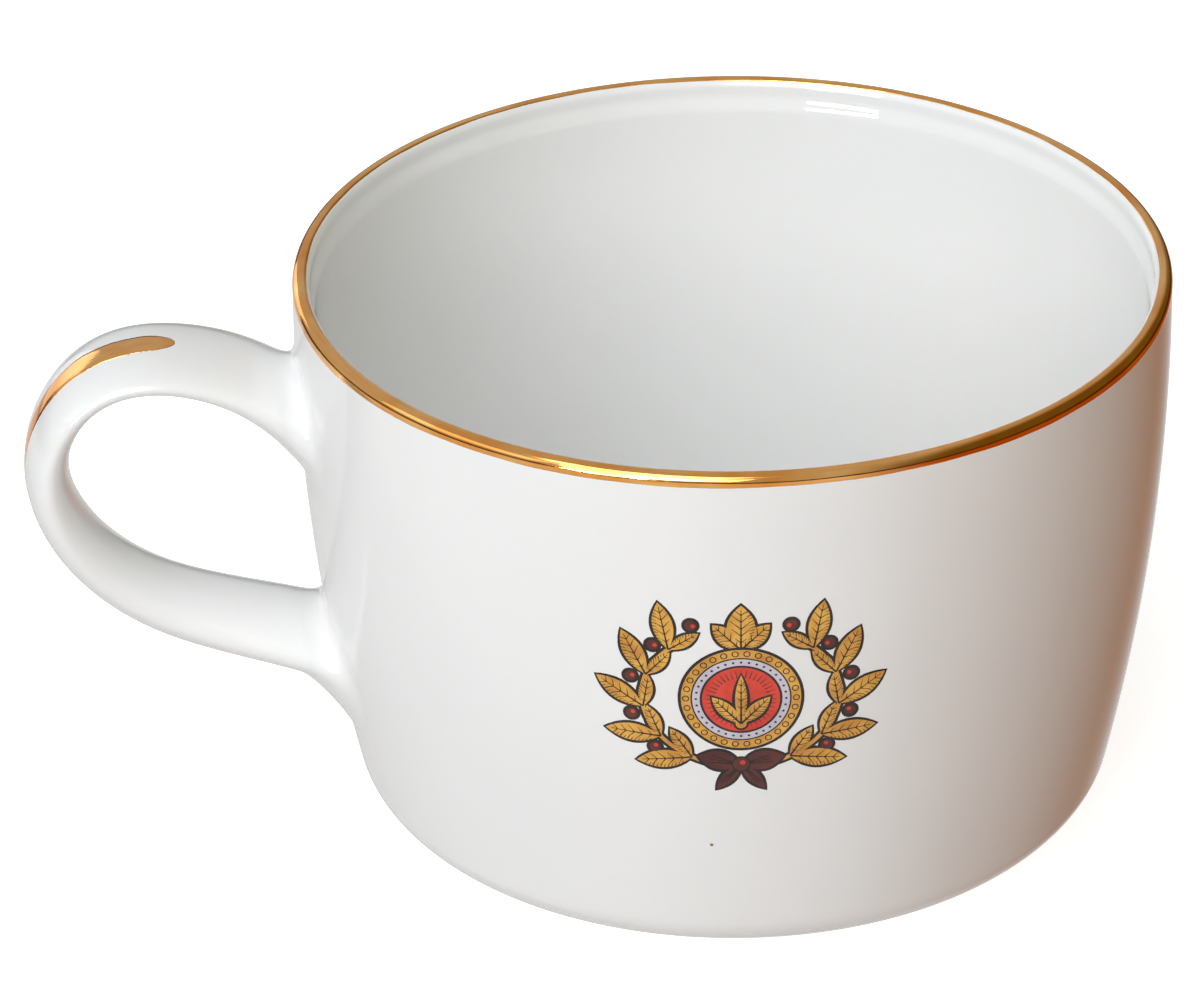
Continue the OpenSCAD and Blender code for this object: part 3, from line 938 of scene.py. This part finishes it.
def drawMedallion():
    edge, disc = emblem["outline"], emblem["disc"]
    paleOuter = disc + emblem["palePart"] - edge / 2
    paleInner = paleOuter - emblem["palePart"] + edge
    bandInner = medallion - emblem["bandPart"]
    rounds = [("brown", 8, medallion + edge), ("ochre", 9, medallion), ("brown", 11, bandInner),
              ("pale", 12, paleOuter), ("brown", 14, paleInner), ("red", 15, disc - edge / 4)]
    for ink, rank, radius in rounds:
        draw([(ink, rank, circleShape(radius, steps=96))])
    bandMiddle = circleShape((medallion + bandInner) / 2, steps=96)
    bead = [("brown", 10, circleShape(0.34, steps=16)), ("ochre", 10.5, circleShape(0.23, steps=16))]
    drawRow("beads", bandMiddle, bead, 30, closed=True)
    drawRow("dots", circleShape((paleOuter + paleInner) / 2, steps=96),
            [("maroon", 13, circleShape(0.13, steps=10))], 36, closed=True)
    ray = [("maroon", 16, slitShape((0, 0.5), (0, -0.35), 0.14))]
    drawRow("rays", circleShape(disc - 0.75, steps=96), ray, 40, closed=True)


def drawSprig():
    disc, edge = emblem["disc"], 0.22
    root = (0, -disc * 0.75)
    draw([("brown", 17, circleShape(disc * 0.14 + edge)), ("ochre", 19, circleShape(disc * 0.14))], 0, root)
    for length, width, angle, mirrored in ((1.5, 0.3, 90, False), (1.1, 0.38, 48, True)):
        parts = leafParts(disc * length, disc * width, veins=5)
        raised = [(ink, rank + 15 if rank > 1 else 17, points) for ink, rank, points in parts]
        draw(raised, math.radians(angle), root, mirrored)


def drawBow():
    knot = (0, -medallion - 1.9)
    r = emblem["berry"] * 1.4
    for length, width, angle in ((4.2, 2.2, 12), (3.8, 1.2, -52)):
        folds = [("brown", 23, slitShape((0.4, side * 0.05), (length * 0.72, side * width * 0.2), 0.16))
                 for side in (-1, 0, 1)]
        loop = [("brown", 20, leafShape(length, width, emblem["outline"])),
                ("maroon", 22, leafShape(length, width))]
        draw(loop + folds, math.radians(angle), knot, mirrored=True)
    draw([("brown", 24, circleShape(r + 0.15)), ("maroon", 25, circleShape(r)),
          ("red", 26, circleShape(r * 0.35, (0.15, 0.18), 12))], 0, knot)


def wrapOnWall(x, y, lift):
    angle = (emblem["turn"] + np.asarray(x) * mm / sideRadius(emblem["height"])) % math.tau
    height = emblem["height"] + np.asarray(y) * mm
    radius = wallRadius(angle, height) + lift
    return np.stack([radius * np.cos(angle), radius * np.sin(angle), height], -1)


# One ink as a closed film: top, underside just in the glaze, and its edges
def inkMesh(name, places, triangles, lift, finish):
    owner = {}
    for t, tri in enumerate(triangles):
        for k in range(3):
            owner[(tri[k], tri[(k + 1) % 3])] = (t, k)
    parent = list(range(len(triangles) * 3))

    def root(i):
        while parent[i] != i:
            parent[i] = parent[parent[i]]
            i = parent[i]
        return i

    for (a, b), (t, k) in owner.items():
        other = owner.get((b, a))
        if other:  # corners on a shared edge are one vertex; corners that only touch stay apart
            parent[root(3 * t + k)] = root(3 * other[0] + (other[1] + 1) % 3)
            parent[root(3 * t + (k + 1) % 3)] = root(3 * other[0] + other[1])
    numbers, spots, top = {}, [], []
    for t, tri in enumerate(triangles):
        face = []
        for k in range(3):
            key = root(3 * t + k)
            if key not in numbers:
                numbers[key] = len(spots)
                spots.append(places[tri[k]])
            face.append(numbers[key])
        top.append(face)
    x, y = np.array(spots).T
    count = len(spots)
    upper, lower = wrapOnWall(x, y, lift), wrapOnWall(x, y, -emblem["sink"])
    faces = top + [[v + count for v in face[::-1]] for face in top]
    for (a, b), (t, k) in owner.items():
        if (b, a) not in owner:
            i, j = top[t][k], top[t][(k + 1) % 3]
            faces.append([j, i, i + count, j + count])
    mesh = bpy.data.meshes.new(name)
    mesh.from_pydata(np.vstack([upper, lower]).tolist(), [], faces)
    mesh.materials.append(finish)
    return mesh


def buildEmblem():
    drawWreath()
    drawCrest()
    drawMedallion()
    drawSprig()
    drawBow()
    corners, faces, edges = [], [], []
    for _, _, points in drawing:
        faces.append(list(range(len(corners), len(corners) + len(points))))
        corners += [Vector(p) for p in points]
    reach = emblem["reach"]
    along, up = (np.arange(-reach, reach + 0.1, width) for width in emblem["strips"])
    for line in [((x, -reach), (x, reach)) for x in along] + [((-reach, y), (reach, y)) for y in up]:
        edges.append((len(corners), len(corners) + 1))
        corners += [Vector(p) for p in line]
    places, _, pieces, _, _, sources = geometry.delaunay_2d_cdt(corners, edges, faces, 1, 1e-5)
    shown = {}
    for piece, source in zip(pieces, sources):
        if source:
            ink = drawing[max(source, key=lambda i: drawing[i][1])][0]
            shown.setdefault(ink, []).append(piece)
    places = [(p.x, p.y) for p in places]
    plan = [("emblemGround", "brown", ["emblem_ground"]), ("emblemOchre", "ochre", ["emblem_wreath"]),
            ("emblemPale", "pale", ["emblem_pale_band"]), ("emblemRed", "red", ["emblem_disc"]),
            ("emblemMaroon", "maroon", ["emblem_berries", "emblem_bow"])]
    for name, ink, nodes in plan:
        lift = emblem["groundLift" if ink == "brown" else "colourLift"]
        mesh = inkMesh(name, places, shown[ink], lift, finishes[ink])
        finishPiece(mesh, nodes, sharpAngle=35)
        print(name, len(mesh.polygons), "faces")


buildEmblem()
print("emblem printed")


studio = {
    "side": 3.0,
    "drop": 0.03 * mm,  # keeps the paper just clear of the foot
    "floor": 0.9,
    "floorCloud": 0.02,
    "floorGlow": 0.62,  # keeps the paper white in the soft shadow
    "sky": (0.51, 0.53, 0.55),
    "ground": (0.75, 0.74, 0.73),
    "horizon": (0.05, 0.03, 0.02),  # dark room between table and ceiling
    "darkLow": (0.38, 0.105, 0.0),  # the dim side of the room
    "darkHigh": (0.16, 0.12, 0.02),
    "darkEdge": (0.25, 0.65),  # how far to +X of a direction the dim side starts, and is full
    "groundEdge": (-0.24, -0.16),  # slope of a direction, down to the ground and up to the sky
    "skyEdge": (-0.02, 0.1),
    "keyFrom": (math.radians(-120), math.radians(29)),  # direction round the cup, and height
    "keyAway": 1.2,
    "keySize": (0.9, 0.7),
    "keyPower": 7.6,
    "overFrom": (math.radians(-130), math.radians(58)),
    "overSize": (0.8, 0.4),
    "overPower": 3.2,
    "aimHeight": 0.7 * cupHeight,
    "cards": [  # direction, height, size and power of what only shows as a reflection in glaze and gold
        (math.radians(-172), math.radians(27), (1.0, 0.5), 1.2),
        (math.radians(117), math.radians(5), (0.34, 0.62), 0.62),
        (math.radians(-130), math.radians(4.5), (0.42, 0.13), 6.5),
        (math.radians(-117), math.radians(24), (0.3, 0.24), 4.5),
    ],
}


def areaLight(name, turn, lift, size, power):
    data = bpy.data.lights.new(name, "AREA")
    data.shape = "RECTANGLE"
    data.size, data.size_y = size
    data.energy = power
    lamp = keepObject(name, data)
    facing = Vector((math.cos(turn) * math.cos(lift), math.sin(turn) * math.cos(lift), math.sin(lift)))
    lamp.location = facing * studio["keyAway"] + Vector((0, 0, studio["aimHeight"]))
    lamp.rotation_euler = facing.to_track_quat("Z", "Y").to_euler()
    return lamp


def buildSky():
    world = bpy.data.worlds.new("studio")
    world.use_nodes = True
    tree = world.node_tree
    way = split(tree, addNode(tree, "ShaderNodeTexCoord").outputs["Generated"])
    shade = addNode(tree, "ShaderNodeMapRange", [way["X"], *studio["darkEdge"], 0.0, 1.0],
                    interpolation_type="SMOOTHSTEP").outputs[0]
    ground = blendColour(tree, shade, studio["ground"], studio["darkLow"])
    sky = blendColour(tree, shade, studio["sky"], studio["darkHigh"])
    below = stretch(tree, way["Z"], *studio["groundEdge"], 1.0, 0.0)
    above = stretch(tree, way["Z"], *studio["skyEdge"], 0.0, 1.0)
    around = blendColour(tree, above, blendColour(tree, below, studio["horizon"], ground), sky)
    tree.links.new(around, tree.nodes["Background"].inputs["Color"])
    bpy.context.scene.world = world


def buildStudio():
    side, low = studio["side"], -studio["drop"]
    corners = [(-side, -side, low), (side, -side, low), (side, side, low), (-side, side, low)]
    mesh = bpy.data.meshes.new("floor")
    mesh.from_pydata(corners, [], [(0, 1, 2, 3)])
    finish, tree, shader = newFinish("floorPaper", {
        "Roughness": 0.9, "Emission Strength": studio["floorGlow"], "Emission Color": (1, 1, 1, 1)})
    cloud = noise(tree, objectSpot(tree), 3.0, 2.0)
    dim, light = (studio["floor"],) * 3, (studio["floor"] + studio["floorCloud"],) * 3
    tree.links.new(blendColour(tree, cloud, dim, light), shader.inputs["Base Color"])
    mesh.materials.append(finish)
    floor = keepObject("floor", mesh)
    floor.visible_diffuse = False  # light from below and its reflection come from the sky's ground instead
    floor.visible_glossy = False
    buildSky()
    areaLight("keyLight", *studio["keyFrom"], studio["keySize"], studio["keyPower"])
    areaLight("overLight", *studio["overFrom"], studio["overSize"], studio["overPower"])
    for number, card in enumerate(studio["cards"], 1):
        areaLight("card" + str(number), *card).visible_diffuse = False


view = {
    "aim": (-13.0 * mm, 1.8 * mm, 32.7 * mm),
    "away": 568.4 * mm,
    "turn": math.radians(-8.0),
    "lift": math.radians(29.6),
    "roll": math.radians(-0.97),
    "lens": 171.9,
}


def buildCamera():
    lift, roll = view["lift"], view["roll"]
    back = Vector((0, -math.cos(lift), math.sin(lift)))
    right = Vector((1, 0, 0))
    up = back.cross(right)
    rolled = math.cos(roll) * right + math.sin(roll) * up
    upright = -math.sin(roll) * right + math.cos(roll) * up
    facing = Matrix.Rotation(view["turn"], 4, "Z") @ Matrix((rolled, upright, back)).transposed().to_4x4()
    data = bpy.data.cameras.new("mainView")
    data.lens = view["lens"]
    data.sensor_width = 36
    camera = keepObject("mainView", data)
    place = Vector(view["aim"]) + view["away"] * facing.col[2].to_3d()
    camera.matrix_world = Matrix.Translation(place) @ facing
    bpy.context.scene.camera = camera
    bpy.context.scene.view_settings.view_transform = "Standard"


buildStudio()
buildCamera()
print("studio ready")
